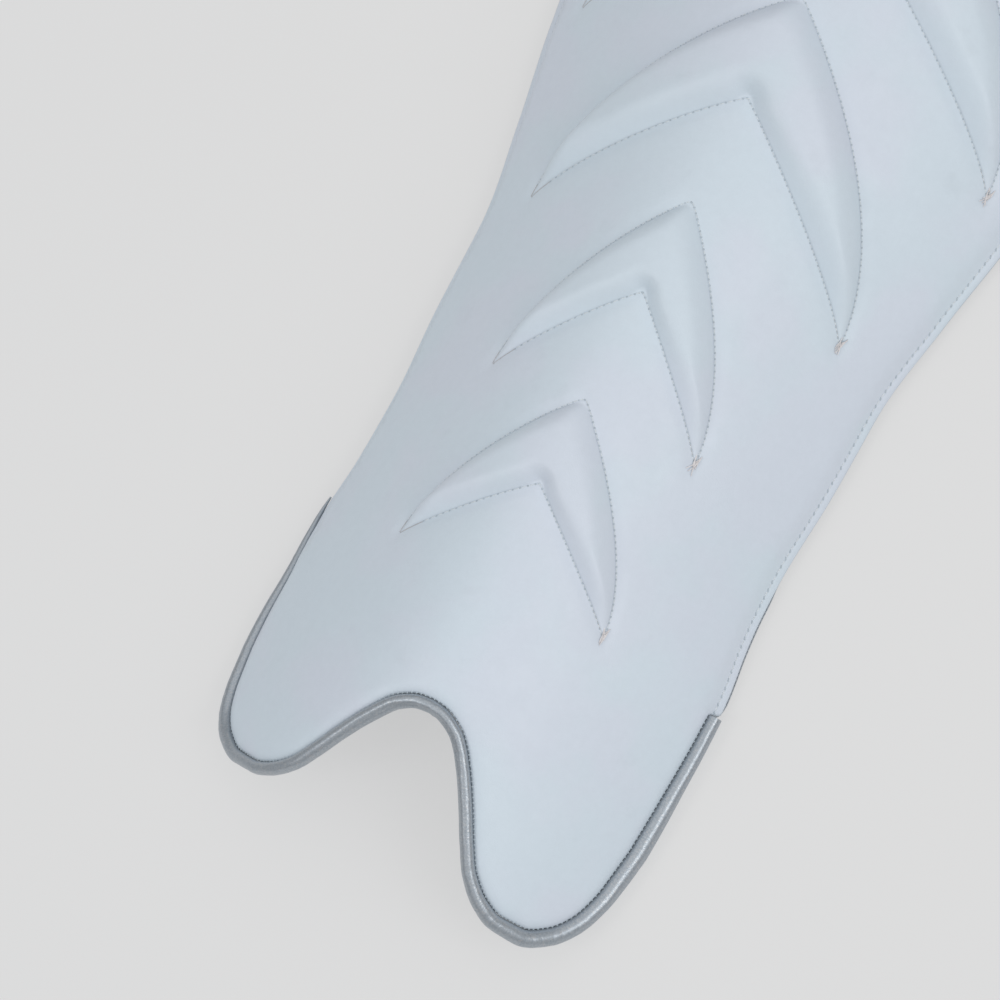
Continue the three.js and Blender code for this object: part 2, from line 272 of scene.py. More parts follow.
def unit(vectors):
    return vectors / np.linalg.norm(vectors, axis=-1, keepdims=True)


def face_normal(spread, station):
    reach = 0.004
    across = face_point(spread + reach, station) - face_point(spread - reach, station)
    up = face_point(spread, station + reach / 4) - face_point(spread, station - reach / 4)
    return unit(np.cross(across, up))


def point_above(spread, station, height):
    """A point at a height over the plain face, or under it where the height is negative."""
    return face_point(spread, station) + face_normal(spread, station) * np.asarray(height)[..., None]


def rim_spread(station, side):
    """The face stops short of the outline where the piping takes the rim's place, on the left little by little."""
    start = np.where(side < 0, LEFT_SHOULDER_START, SHOULDER_START)
    end = np.where(side < 0, LEFT_SHOULDER_END, SHOULDER_END)
    return PIPED_RIM + (1 - PIPED_RIM) * eased(station, start, end)


def foot_station(side):
    shifted = side - NOTCH_SHIFT * (1 - np.abs(side))
    station = read_table(FOOT_RIM, "side", "station", np.abs(shifted))
    longer = LONGER_LOBE * np.clip((LOBE_ROOT - station) / LOBE_LENGTH, 0, 1)
    return station - np.where(side > 0, longer * (1 + LOBE_TURN * (side - LOBE_MIDDLE)), 0)


def top_station(side):
    return LENGTH - TOP_CORNER * (1 - np.sqrt(np.maximum(0, 1 - np.abs(side) ** TOP_POWER)))


def pad_thickness(side, station):
    """The pad is thickest in its middle and thin where it is sewn shut along its rim."""
    from_side = (1 - np.abs(side)) * half_width_at(station) * SIDE_RUN
    from_foot = (station - foot_station(side)) * FOOT_RUN
    from_top = top_station(side) - station
    from_rim = np.minimum(np.minimum(from_side, from_foot), from_top)
    return RIM_THICKNESS + (PAD_THICKNESS - RIM_THICKNESS) * eased(from_rim, 0, RIM_TAPER)


# The leather unrolled flat: its own width across the section takes the place of the spread
SPREADS = np.linspace(-1.05, 1.05, 1601)
SECTION = face_point(SPREADS, np.full(SPREADS.shape, LENGTH / 2))
SECTION_RUN = np.concatenate([[0], np.cumsum(np.linalg.norm(np.diff(SECTION, axis=0), axis=1))])
SECTION_RUN -= SECTION_RUN[len(SPREADS) // 2]


def unrolled(spread, station):
    return np.stack([np.interp(spread, SPREADS, SECTION_RUN), station], -1)


def rolled(flat):
    return np.interp(flat[..., 0], SECTION_RUN, SPREADS), flat[..., 1]


def resampled(points, step):
    """Points one step apart along a line."""
    run = np.concatenate([[0], np.cumsum(np.linalg.norm(np.diff(points, axis=0), axis=1))])
    at = np.linspace(0, run[-1], max(2, round(run[-1] / step) + 1))
    return np.stack([np.interp(at, run, points[:, k]) for k in range(points.shape[1])], -1)


def shifted_line(points, distance, closed=False):
    """The points moved off their line by a distance, to its left."""
    if closed:
        along = np.roll(points, -1, axis=0) - np.roll(points, 1, axis=0)
    else:
        along = np.gradient(points, axis=0)
    along = unit(along)
    return points + np.stack([-along[:, 1], along[:, 0]], -1) * distance


def from_middle(chevron, edge, lateral):
    """0 at a V line's apex, which is a little blunt, and 1 at its tips."""
    blunt = {"inner": INNER_BLUNT, "outer": OUTER_BLUNT}[edge]
    return np.hypot(lateral, blunt) / math.hypot(chevron["tip_side"], blunt)


def v_line_station(chevron, edge, lateral):
    """How far up the guard a V line runs, at a distance from the guard's middle."""
    climb = np.clip(1 - from_middle(chevron, edge, lateral), 0, 1) ** (1 / chevron[edge + "_power"])
    return chevron["tip"] + (chevron[edge] - chevron["tip"]) * climb


def v_line_place(chevron, edge, climb, sign):
    """The spread and the station of a V line at a climb, from 0 at a tip to 1 at the apex."""
    lateral = sign * chevron["tip_side"] * (1 - climb ** chevron[edge + "_power"])
    station = v_line_station(chevron, edge, lateral)
    return lateral / half_width_at(station), station


class Lines:
    """Lines on the unrolled leather, and how far other places are from the nearest of them."""

    def __init__(self, lines, closed=False):
        self.points = np.concatenate(lines)
        before, after, count = [], [], 0
        for line in lines:
            number = np.arange(len(line)) + count
            before.append(np.append(number[-1:] if closed else number[:1], number[:-1]))
            after.append(np.append(number[1:], number[:1] if closed else number[-1:]))
            count += len(line)
        self.before = np.concatenate(before)
        self.after = np.concatenate(after)
        self.tree = KDTree(count)
        for i, (x, y) in enumerate(self.points):
            self.tree.insert((x, y, 0), i)
        self.tree.balance()

    def edges(self):
        return [(i, after) for i, after in enumerate(self.after) if after != i]

    def distance(self, places):
        """The distance of each place from the lines, and the number of the lines' nearest point."""
        nearest = np.array([self.tree.find((x, y, 0))[1] for x, y in places])
        best = np.full(len(places), np.inf)
        for other in (self.before, self.after):
            start = self.points[nearest]
            along = self.points[other[nearest]] - start
            length = np.maximum((along ** 2).sum(1), 1e-16)
            share = np.clip(((places - start) * along).sum(1) / length, 0, 1)
            best = np.minimum(best, np.linalg.norm(places - start - along * share[:, None], axis=1))
        return best, nearest


def rim_loop():
    """The rim, round the lobes from left to right, up the right side, over the top and down the left side."""
    side = np.sin(np.linspace(-1, 1, 600) * math.pi / 2)
    foot = unrolled(side * rim_spread(foot_station(side), side), foot_station(side))
    top = unrolled(side[::-1], top_station(side[::-1]))
    sides = []
    for sign in (1, -1):
        station = np.linspace(foot_station(np.array(float(sign))), top_station(float(sign)), 400)
        sides.append(unrolled(sign * rim_spread(station, sign), station))
    return np.concatenate([foot, sides[0][1:], top[1:], sides[1][::-1][1:]])


def turned_edge():
    """The stitched edge up the right side, over the top and down the left side, as if it ran on under the piping."""
    right = np.linspace(SHOULDER_START - 0.012, top_station(1.0), 400)
    left = np.linspace(top_station(1.0), LEFT_SHOULDER_START, 400)
    side = np.sin(np.linspace(1, -1, 400) * math.pi / 2)
    return np.concatenate([
        unrolled(np.ones(400), right),
        unrolled(side, top_station(side))[1:],
        unrolled(-rim_spread(left, -1), left)[1:],
    ])


rim = Lines([resampled(rim_loop(), RIM_STEP)[:-1]], closed=True)
edge_line = Lines([resampled(turned_edge(), RIM_STEP)])
v_arms = []
for chevron in CHEVRONS:
    for edge in ("inner", "outer"):
        climb = np.linspace(0, 1, 400)
        left = unrolled(*v_line_place(chevron, edge, climb, -1))
        right = unrolled(*v_line_place(chevron, edge, climb[::-1], 1))
        v_arms.append(resampled(left, SEAM_STEP))
        v_arms.append(resampled(right, SEAM_STEP))
v_lines = Lines(v_arms)


def inside_outline(places):
    """True where a place lies within the rim, by counting the rim's crossings to its right."""
    inside = np.zeros(len(places), bool)
    for (x1, y1), (x2, y2) in zip(rim.points, rim.points[rim.after]):
        crosses = (y1 > places[:, 1]) != (y2 > places[:, 1])
        if crosses.any():
            at = x1 + (x2 - x1) * (places[crosses, 1] - y1) / (y2 - y1)
            inside[crosses] ^= at > places[crosses, 0]
    return inside


def under_chevron(places):
    """True where a place lies between a chevron's two V lines."""
    spread, station = rolled(places)
    lateral = spread * half_width_at(station)
    covered = np.zeros(len(places), bool)
    for chevron in CHEVRONS:
        low = v_line_station(chevron, "inner", lateral)
        high = v_line_station(chevron, "outer", lateral)
        covered |= (np.abs(lateral) < chevron["tip_side"]) & (station > low) & (station < high)
    return covered


def leather_net():
    """The places of the mesh's points on the unrolled leather, and the seams and rim as edges between them."""
    count = len(rim.points)
    edges = rim.edges() + [(i + count, j + count) for i, j in v_lines.edges()]
    places = [rim.points, v_lines.points]
    for distance in RIM_RINGS:
        ring = shifted_line(rim.points, distance, closed=True)[::max(1, round(distance / RIM_RING_THINNING))]
        clear = v_lines.distance(ring)[0] > RIM_RING_TO_SEAM
        kept = (rim.distance(ring)[0] > RING_CLEAR * distance) & clear
        places.append(ring[kept & inside_outline(ring)])
    for distance in SEAM_RINGS:
        for way in (-1, 1):
            for arm in v_arms:
                ring = shifted_line(arm, way * distance)[::max(1, round(distance / SEAM_RING_THINNING))]
                clear = rim.distance(ring)[0] > SEAM_RING_TO_RIM
                kept = (v_lines.distance(ring)[0] > RING_CLEAR * distance) & clear
                places.append(ring[kept])
    low, high = rim.points.min(0), rim.points.max(0)
    rows = np.arange(low[1], high[1], OPEN_STEP * math.sqrt(3) / 2)
    x, y = np.meshgrid(np.arange(low[0], high[0], OPEN_STEP), rows)
    x = x + (np.arange(len(rows)) % 2)[:, None] * OPEN_STEP / 2
    field = np.stack([x.ravel(), y.ravel()], -1)
    field = field[inside_outline(field)]
    kept = (rim.distance(field)[0] > NEAR_RIM) & (v_lines.distance(field)[0] > NEAR_SEAM)
    places.append(field[kept])
    return np.concatenate(places), edges


def leather_dip(places):
    """How far the sewn leather lies under the plain face, and its distances from the V lines and the rim."""
    from_seam, _ = v_lines.distance(places)
    from_rim, _ = rim.distance(places)
    from_edge, _ = edge_line.distance(places)
    crease = SEAM_CREASE * np.exp(-from_seam / SEAM_CREASE_WIDTH)
    sunk = SEAM_DIP * (1 - eased(from_seam, 0, SEAM_DIP_WIDTH)) + crease
    recess = SEAM_DIP + SEAM_CREASE + RECESS * np.clip(from_seam / RECESS_START, 0, 1)
    at_seams = np.where(under_chevron(places), recess, sunk)
    rightward = eased(places[:, 0], -EDGE_DIP_TURNS, EDGE_DIP_TURNS)
    edge_dip = LEFT_EDGE_DIP + (RIGHT_EDGE_DIP - LEFT_EDGE_DIP) * rightward
    dip_end = LEFT_EDGE_DIP_END + (RIGHT_EDGE_DIP_END - LEFT_EDGE_DIP_END) * rightward
    turned = edge_dip * (1 - eased(from_edge, EDGE_STITCH_IN, dip_end))
    turned += EDGE_GROOVE * np.exp(-((from_edge - EDGE_STITCH_IN) / EDGE_GROOVE_WIDTH) ** 2)
    turned += EDGE_ROUND * np.clip(1 - from_edge / EDGE_ROUND, 0, 1) ** 2
    inward = np.clip(1 - from_rim / PIPED_ROLL_WIDTH, 0, 1)
    rolled_in = PIPED_ROLL * (1 - np.sqrt(1 - inward ** 2))
    on_right = places[:, 0] > 0
    roll_ends = np.where(on_right, RIGHT_ROLL_END, LEFT_ROLL_END)
    fade = np.where(on_right, RIGHT_ROLL_FADE, LEFT_ROLL_FADE)
    piped = 1 - eased(places[:, 1], roll_ends, roll_ends + fade)
    return at_seams + turned * (1 - piped) + rolled_in * piped, from_seam, from_rim


def new_object(name, vertices, faces):
    mesh = bpy.data.meshes.new(name)
    mesh.from_pydata(np.asarray(vertices).tolist(), [], [list(face) for face in faces])
    made = bpy.data.objects.new(name, mesh)
    bpy.context.scene.collection.objects.link(made)
    return made


def select_only(*objects):
    bpy.ops.object.select_all(action="DESELECT")
    for item in objects:
        item.select_set(True)
    bpy.context.view_layer.objects.active = objects[0]


def add_values(made, **lists):
    """Keeps numbers for each point of the mesh, for its material to read."""
    for name, values in lists.items():
        attribute = made.data.attributes.new(name, "FLOAT", "POINT")
        attribute.data.foreach_set("value", np.asarray(values, np.float32))


def closed_wall(rows, columns):
    """The faces of a wall whose outer and inner points are two grids, one after the other."""
    number = np.arange(rows * columns).reshape(rows, columns)
    quads = np.stack([number[:-1, :-1], number[:-1, 1:], number[1:, 1:], number[1:, :-1]], -1).reshape(-1, 4)
    loop = np.concatenate([number[0, :-1], number[:-1, -1], number[-1, :0:-1], number[:0:-1, 0]])
    after = np.roll(loop, -1)
    size = rows * columns
    band = np.stack([after, loop, loop + size, after + size], -1)
    return quads.tolist() + (quads[:, ::-1] + size).tolist() + band.tolist()


def swell(pad, held, limit):
    """Blows a closed pad up as cloth, with some points held. Gives each point's way out, up to a limit."""
    rest = np.array([v.co for v in pad.data.vertices])
    sewn = pad.vertex_groups.new(name="sewn")
    sewn.add(np.flatnonzero(held).tolist(), 1, "REPLACE")
    cloth = pad.modifiers.new("foam", "CLOTH")
    cloth.settings.vertex_group_mass = "sewn"
    cloth.settings.use_pressure = True
    cloth.settings.uniform_pressure_force = FOAM_PRESSURE
    cloth.settings.effector_weights.gravity = 0
    cloth.settings.quality = 5
    cloth.point_cache.frame_start = 1
    cloth.point_cache.frame_end = FOAM_FRAMES
    for step in range(1, FOAM_FRAMES + 1):
        bpy.context.scene.frame_set(step)
    blown = pad.evaluated_get(bpy.context.evaluated_depsgraph_get())
    moved = np.array([v.co for v in blown.data.vertices]) - rest
    bpy.context.scene.frame_set(1)
    bpy.data.objects.remove(pad)
    far = np.linalg.norm(moved, axis=1, keepdims=True)
    return rest, moved * np.minimum(1, limit / np.maximum(far, 1e-9))


def wall_grid(columns, rows):
    """The sides and stations of a grid over the whole wall."""
    side = np.broadcast_to(np.linspace(-1, 1, columns), (rows, columns))
    share = np.linspace(0, 1, rows)[:, None]
    return side, foot_station(side) + (top_station(side) - foot_station(side)) * share


def puff_at(points, normals):
    """How far the foam pushes the leather out at each point, from a cloth simulation of a coarser pad."""
    side, station = wall_grid(PUFF_COLUMNS, PUFF_ROWS)
    spread = side * rim_spread(station, side)
    outer = face_point(spread, station).reshape(-1, 3)
    inner = point_above(spread, station, -pad_thickness(side, station)).reshape(-1, 3)
    flat = unrolled(spread, station).reshape(-1, 2)
    near_seam = v_lines.distance(flat)[0] < SEWN_WIDTH
    held = near_seam | (rim.distance(flat)[0] < SEWN_WIDTH) | under_chevron(flat)
    pad = new_object("coarse_pad", np.concatenate([outer, inner]), closed_wall(*side.shape))
    rest, moved = swell(pad, np.append(held, np.ones(len(inner), bool)), PUFF_LIMIT)
    tree = KDTree(len(outer))
    for i in range(len(outer)):
        tree.insert(rest[i], i)
    tree.balance()
    out = np.zeros(len(points))
    for n, point in enumerate(points):
        near = tree.find_n(point, PUFF_NEIGHBOURS)
        weights = np.array([1 / (distance ** 2 + 1e-6) for _, _, distance in near])
        out[n] = weights @ (moved[[i for _, i, _ in near]] @ normals[n]) / weights.sum()
    return np.clip(out, 0, PUFF_LIMIT)


def smoothed(values, pairs, rounds):
    """Each point's value drawn toward the mean of its neighbours', a number of rounds."""
    count = np.maximum(np.bincount(pairs.ravel(), minlength=len(values)), 1)
    for _ in range(rounds):
        total = np.bincount(pairs[:, 0], values[pairs[:, 1]], len(values))
        total += np.bincount(pairs[:, 1], values[pairs[:, 0]], len(values))
        values = (values + total / count) / 2
    return values


def triangulated(places, edges):
    """Even triangles over the unrolled leather, all turned the same way, with none outside the rim."""
    flat = [Vector(place) for place in places.tolist()]
    found, _, faces, _, _, _ = delaunay_2d_cdt(flat, edges, [], 1, 1e-6, False)
    places = np.array([tuple(place) for place in found])
    triangles = np.array([face for face in faces if len(face) == 3])
    triangles = triangles[inside_outline(places[triangles].mean(1))]
    used, triangles = np.unique(triangles, return_inverse=True)
    triangles = triangles.reshape(-1, 3)
    places = places[used]
    a, b, c = (places[triangles[:, k]] for k in range(3))
    turn = (b[:, 0] - a[:, 0]) * (c[:, 1] - a[:, 1]) - (b[:, 1] - a[:, 1]) * (c[:, 0] - a[:, 0])
    return places, np.where((turn > 0)[:, None], triangles, triangles[:, ::-1])


def make_shell():
    places, triangles = triangulated(*leather_net())
    count = len(places)
    spread, station = rolled(places)
    points = face_point(spread, station)
    normals = face_normal(spread, station)
    dip, from_seam, from_rim = leather_dip(places)
    free = eased(np.minimum(from_seam, from_rim), PUFF_HELD, PUFF_FREE) * ~under_chevron(places)
    pairs = np.sort(np.concatenate([triangles[:, [0, 1]], triangles[:, [1, 2]], triangles[:, [2, 0]]]), axis=1)
    pairs, uses = np.unique(pairs, axis=0, return_counts=True)
    uneven = np.array([
        noise.noise(Vector(p) * LUMPS) + SMALL_LUMP_SHARE * noise.noise(Vector(p) * SMALL_LUMPS)
        for p in points.tolist()])
    puff = smoothed(puff_at(points, normals), pairs, PUFF_SMOOTHING)
    height = (puff + UNEVEN * uneven) * free - dip
    outer = points + normals * height[:, None]
    side = spread / rim_spread(station, spread)
    inner = points - normals * pad_thickness(side, station)[:, None]

    rim_pairs = {tuple(pair) for pair in pairs[uses == 1].tolist()}
    band = []
    for a, b, c in triangles.tolist():
        for first, second in ((a, b), (b, c), (c, a)):
            if (min(first, second), max(first, second)) in rim_pairs:
                band.append([second, first, first + count, second + count])
    faces = triangles.tolist() + (triangles[:, ::-1] + count).tolist() + band
    shell = new_object("padded_shell", np.concatenate([outer, inner]), faces)
    far = np.ones(count)
    add_values(shell, from_seam=np.append(from_seam, far), from_rim=np.append(from_rim, far))
    return shell


class Signal:
    """The output of a shader node. Sums of signals are written as sums of numbers are."""

    def __init__(self, shader, output):
        self.shader = shader
        self.output = output

    def combined(self, operation, first, second):
        return self.shader.node("ShaderNodeMath", {"operation": operation}, {0: first, 1: second})

    def __add__(self, other):
        return self.combined("ADD", self, other)

    __radd__ = __add__

    def __sub__(self, other):
        return self.combined("SUBTRACT", self, other)

    def __rsub__(self, other):
        return self.combined("SUBTRACT", other, self)

    def __mul__(self, other):
        return self.combined("MULTIPLY", self, other)

    __rmul__ = __mul__

    def wave(self):
        return self.shader.node("ShaderNodeMath", {"operation": "SINE"}, {0: self})

    def eased(self, low, high, to_low=0.0, to_high=1.0):
        """The same as eased() above, between two other values."""
        ends = {"From Min": low, "From Max": high, "To Min": to_low, "To Max": to_high}
        settings = {"interpolation_type": "SMOOTHSTEP"}
        return self.shader.node("ShaderNodeMapRange", settings, {"Value": self, **ends})


class Shader:
    """A new material, and its nodes by what they do."""

    def __init__(self, name, tree=None):
        if tree is None:
            self.material = bpy.data.materials.new(name)
            self.material.use_nodes = True
            tree = self.material.node_tree
            self.surface = tree.nodes["Principled BSDF"]
        self.tree = tree

    def node(self, kind, settings=None, sockets=None, output=0):
        made = self.tree.nodes.new(kind)
        for key, value in (settings or {}).items():
            setattr(made, key, value)
        self.plug(made, sockets or {})
        return Signal(self, made.outputs[output])

    def plug(self, made, sockets):
        for key, value in sockets.items():
            if isinstance(value, Signal):
                self.tree.links.new(value.output, made.inputs[key])
            else:
                made.inputs[key].default_value = value

    def place(self):
        """The place on the object."""
        return self.node("ShaderNodeTexCoord", output="Object")

    def value(self, name):
        """A number that the mesh keeps for each point."""
        return self.node("ShaderNodeAttribute", {"attribute_name": name}, output="Fac")

    def noise(self, place, scale, detail=2.0, roughness=0.5):
        sockets = {"Vector": place, "Scale": scale, "Detail": detail, "Roughness": roughness}
        return self.node("ShaderNodeTexNoise", sockets=sockets)

    def cells(self, place, scale, output="Distance"):
        return self.node("ShaderNodeTexVoronoi", sockets={"Vector": place, "Scale": scale}, output=output)

    def mix(self, share, first, second):
        """From one colour to another."""
        made = self.tree.nodes.new("ShaderNodeMix")
        made.data_type = "RGBA"
        self.plug(made, {0: share, 6: first, 7: second})
        return Signal(self, made.outputs[2])

    def bump(self, height, depth, under=None):
        """A normal from a height of 0 to 1, with its depth in metres."""
        sockets = {"Height": height, "Distance": depth, "Strength": 1.0}
        if under is not None:
            sockets["Normal"] = under
        return self.node("ShaderNodeBump", sockets=sockets, output="Normal")


# Shades of the leather: cool in places and a little warmer in others, with painted shade in its creases and near its
# rim
COOL_WHITE = (0.640, 0.723, 0.792, 1)
WARM_WHITE = (0.656, 0.711, 0.792, 1)
PAINTED_SHADE_GREY = (0.400, 0.460, 0.510, 1)
SOFT_DEPTH = 0.00004
GRAIN_DEPTH = 0.00003


def leather(name):
    """White coated leather: an even satin coat over a very fine grain."""
    shader = Shader(name)
    place = shader.place()
    patches = shader.noise(place, 17, 3).eased(0.40, 0.62)
    white = shader.mix(patches, COOL_WHITE, WARM_WHITE)
    mottle = shader.noise(place, 260, 3, 0.7).eased(0.2, 0.8, 0.985, 1.01)
    scuffs = shader.noise(place, 46, 4, 0.6).eased(0.60, 0.78, 1.0, 0.965)
    white = shader.node("ShaderNodeVectorMath", {"operation": "SCALE"}, {0: white, "Scale": mottle * scuffs})
    # Painted shade: grey along the V lines' creases, and grey within about a millimetre of the rim, which along the
    # piping is the shade of its crease
    painted_crease_shade = shader.value("from_seam").eased(0.0001, 0.0008, 0.16, 0.0)
    at_edge = shader.value("from_rim").eased(0.0, 0.0011, 0.6, 0.0)
    shaded = painted_crease_shade.combined("MAXIMUM", painted_crease_shade, at_edge)
    color = shader.mix(shaded, white, PAINTED_SHADE_GREY)
    rough = shader.noise(place, 90, 3).eased(0.3, 0.7, 0.40, 0.50) + shaded * 0.2
    grain = shader.cells(place, 1350)
    soft = shader.noise(place, 330, 2)
    normal = shader.bump(soft, SOFT_DEPTH, under=shader.bump(grain, GRAIN_DEPTH))
    shader.plug(shader.surface, {"Base Color": color, "Roughness": rough, "Normal": normal})
    return shader.material


shell = make_shell()
shell.data.materials.append(leather("face_leather"))
select_only(shell)
bpy.ops.object.shade_smooth_by_angle(angle=math.radians(50))
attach(shell, "root")
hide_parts("front_shell")


# Each chevron is a foam pad under the same leather, sewn down along its two V lines. It climbs steeply from the
# inner line, is tallest where its arms meet, and falls gently to the outer line.
LEFT_FALL = 0.0100
RIGHT_FALL = 0.0140
FALL_POWER = 1.7
CHEVRON_EDGE = -0.00080
CHEVRON_BOTTOM = -0.00086
CHEVRON_SEAT = 0.00018
CHEVRON_PUFF = 0.0009
MITRE_WIDTH = 0.0022
CHEVRON_COLUMN = 0.0007
CHEVRON_ROWS = 29
CHEVRON_PUFF_COLUMNS = 61
CHEVRON_PUFF_ROWS = 13


def chevron_grid(chevron, columns, rows):
    """Places over a chevron, from its left tip over its apex to its right tip, and from its inner line outward."""
    along = np.linspace(-1, 1, columns)
    climb = np.clip(1 - np.abs(along), 0.004, 1)
    low = unrolled(*v_line_place(chevron, "inner", climb, np.sign(along)))
    high = unrolled(*v_line_place(chevron, "outer", climb, np.sign(along)))
    across = (1 - np.cos(np.linspace(0, math.pi, rows))) / 2
    return low + (high - low) * across[:, None, None]


def soft_least(first, second, width):
    """The lesser of two distances, with the corner between them rounded."""
    rounding = width * np.log1p(np.exp(-np.abs(first - second) / width))
    return np.maximum(np.minimum(first, second) - rounding, 0)


def chevron_height(chevron, arms, places):
    """A chevron's height over the plain face, and how far each place is from its V lines."""
    flat = places.reshape(-1, 2)
    away = [arm.distance(flat)[0].reshape(places.shape[:2]) for arm in arms]
    flank = np.clip(soft_least(away[0], away[1], MITRE_WIDTH) / chevron["flank"], 0, 1)
    width = LEFT_FALL + (RIGHT_FALL - LEFT_FALL) * eased(places[..., 0], -0.005, 0.005)
    fall = np.clip(soft_least(away[2], away[3], MITRE_WIDTH) / width, 0, 1)
    share = flank * (3 - flank ** 2) / 2 * (1 - (1 - fall) ** FALL_POWER)
    return CHEVRON_EDGE + (chevron["rise"] - CHEVRON_EDGE) * share, np.min(away, axis=0)


def chevron_wall(places, height, from_seam):
    """The pad's outer points at their heights, and the points under them in the face's recess."""
    spread, station = rolled(places)
    outer = point_above(spread, station, height).reshape(-1, 3)
    bottom = CHEVRON_BOTTOM - CHEVRON_SEAT * np.clip(from_seam / RECESS_START, 0, 1)
    inner = point_above(spread, station, bottom).reshape(-1, 3)
    return outer, inner


def chevron_puff(chevron, arms, columns, rows):
    """How far a chevron's foam pushes it out, from a cloth simulation of a coarser pad."""
    few_columns, few_rows = CHEVRON_PUFF_COLUMNS, CHEVRON_PUFF_ROWS
    places = chevron_grid(chevron, few_columns, few_rows)
    outer, inner = chevron_wall(places, *chevron_height(chevron, arms, places))
    loose = np.zeros((few_rows, few_columns), bool)
    loose[1:-1, 1:-1] = True
    held = np.append(~loose.ravel(), np.ones(len(inner), bool))
    pad = new_object("coarse_chevron", np.concatenate([outer, inner]), closed_wall(few_rows, few_columns))
    _, moved = swell(pad, held, CHEVRON_PUFF)
    normals = face_normal(*rolled(places)).reshape(-1, 3)
    out = (moved[:len(outer)] * normals).sum(1).reshape(few_rows, few_columns)
    out[[0, -1]] = 0
    out[:, [0, -1]] = 0
    wide = np.linspace(0, few_columns - 1, columns)
    tall = np.linspace(0, few_rows - 1, rows)
    out = np.stack([np.interp(wide, np.arange(few_columns), row) for row in out])
    return np.stack([np.interp(tall, np.arange(few_rows), column) for column in out.T], -1)


chevron_leather = leather("chevron_leather")
for number, chevron in enumerate(CHEVRONS):
    arms = [Lines([arm]) for arm in v_arms[4 * number:4 * number + 4]]
    columns = 2 * round(chevron["tip_side"] / CHEVRON_COLUMN) + 1
    places = chevron_grid(chevron, columns, CHEVRON_ROWS)
    height, from_seam = chevron_height(chevron, arms, places)
    puffed = height + chevron_puff(chevron, arms, columns, CHEVRON_ROWS)
    outer, inner = chevron_wall(places, puffed, from_seam)
    pad = new_object(f"chevron_pad_{number + 1}", np.concatenate([outer, inner]), closed_wall(CHEVRON_ROWS, columns))
    far = np.ones(len(outer))
    add_values(pad, from_seam=np.append(from_seam, np.zeros(len(outer))), from_rim=np.append(far, far))
    pad.data.materials.append(chevron_leather)
    select_only(pad)
    bpy.ops.object.shade_smooth_by_angle(angle=math.radians(45))
    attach(pad, "root")
    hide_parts(f"chevron_{number + 1}")


# The seams are lock stitched in off-white thread. Every stitch dives into a needle hole at each end, and a few
# loose ends are left where the stitching of a chevron starts and stops, at its right tip.
V_PITCH = 0.00275
LEFT_INNER_PITCH = 0.00375
V_STITCH_OFF = 0.00035
V_STITCH = (0.36, 0.00024, 0.00020)
V_HOLE_SHADE = (0.00048, 0.00040, 0.00012)
FAINT_HOLE_SHADE = (0.00034, 0.00028, 0.00010)
EDGE_PITCH = 0.0040
EDGE_STITCH = (0.00140, 0.00030, 0.00026)
EDGE_HOLE_SHADE = (0.00095, 0.00040, 0.00016)
EDGE_HOLE_SLANT = math.radians(35)
BITE_PITCH = 0.0024
BITE_IN = 0.0006
BITES_END = SHOULDER_START - 0.001
BITE_HOLE_SHADE = (0.00075, 0.00055, 0.00040)
STITCH_DIVE = 2.0
V_STITCH_LIFT = 0.00014
EDGE_STITCH_LIFT = 0.00020
BITE_SINK = 0.0003
LEFT_INNER_TIGHT = 11
LEFT_OUTER_TIGHT = 5
RIGHT_INNER_TIGHT = 12
TIGHT_LIFT = 0.00006
TIGHT_STEP = 0.0006
TIGHT_RADIUS = 0.00017
# The loose ends: how many at a tip, over what length of it, and how each of them lies
TAILS = 15
TAIL_RADIUS = 0.00020
TAIL_SPAN = 0.0046
TAIL_SHORTEST = 0.0026
TAIL_LONGER = 0.0030
TAIL_LEAN = 0.6
TAIL_SPLAY = 0.25
TAIL_CURL = 0.0016
TAIL_LIFT = 0.0003
TAIL_ARCH = 0.0004
TAIL_HIGHER = 0.0008
TIP_WIDTH = 0.0004
TIP_OPENS = 0.22


def bead(rings, sides, dive):
    """A small round body that reaches 1 each way, with its two ends bent down."""
    turn = np.linspace(0, math.pi, rings + 2)[1:-1, None]
    around = np.linspace(0, 2 * math.pi, sides, endpoint=False)
    x = np.cos(turn) + 0 * around
    girth = np.sin(turn) ** 0.6
    body = np.stack([x, girth * np.cos(around), girth * np.sin(around) - dive * x ** 2], -1).reshape(-1, 3)
    points = np.concatenate([[[1, 0, -dive]], body, [[-1, 0, -dive]]])
    number = np.arange(rings * sides).reshape(rings, sides) + 1
    after = np.roll(number, -1, axis=1)
    last = len(points) - 1
    faces = np.stack([number[:-1], number[1:], after[1:], after[:-1]], -1).reshape(-1, 4).tolist()
    for i in range(sides):
        faces.append([0, number[0, i], after[0, i]])
        faces.append([last, after[-1, i], number[-1, i]])
    return points, faces


def on_leather(places, height):
    """Frames on the sewn leather: each place's point at a height, the line's way, the way across it, and up."""
    spread, station = rolled(places)
    centre = point_above(spread, station, height - leather_dip(places)[0])
    up = face_normal(spread, station)
    along = unit(np.gradient(centre, axis=0))
    across = unit(np.cross(up, along))
    return np.stack([centre, along, across, np.cross(along, across)], 1)


def scattered(name, shape, groups):
    """One mesh of a small shape at every frame of each group. A group has its frames and the shape's half sizes."""
    points, faces = shape
    vertices, all_faces = [], []
    for frames, half_sizes in groups:
        scaled = points * np.array(half_sizes)
        for centre, *axes in frames:
            all_faces += [[i + len(vertices) * len(points) for i in face] for face in faces]
            vertices.append(centre + scaled @ np.array(axes))
    return new_object(name, np.concatenate(vertices), all_faces)


def slanted(frames, angle):
    """The frames turned about their own up."""
    turned = frames.copy()
    turned[:, 1] = frames[:, 1] * math.cos(angle) + frames[:, 2] * math.sin(angle)
    turned[:, 2] = frames[:, 2] * math.cos(angle) - frames[:, 1] * math.sin(angle)
    return turned
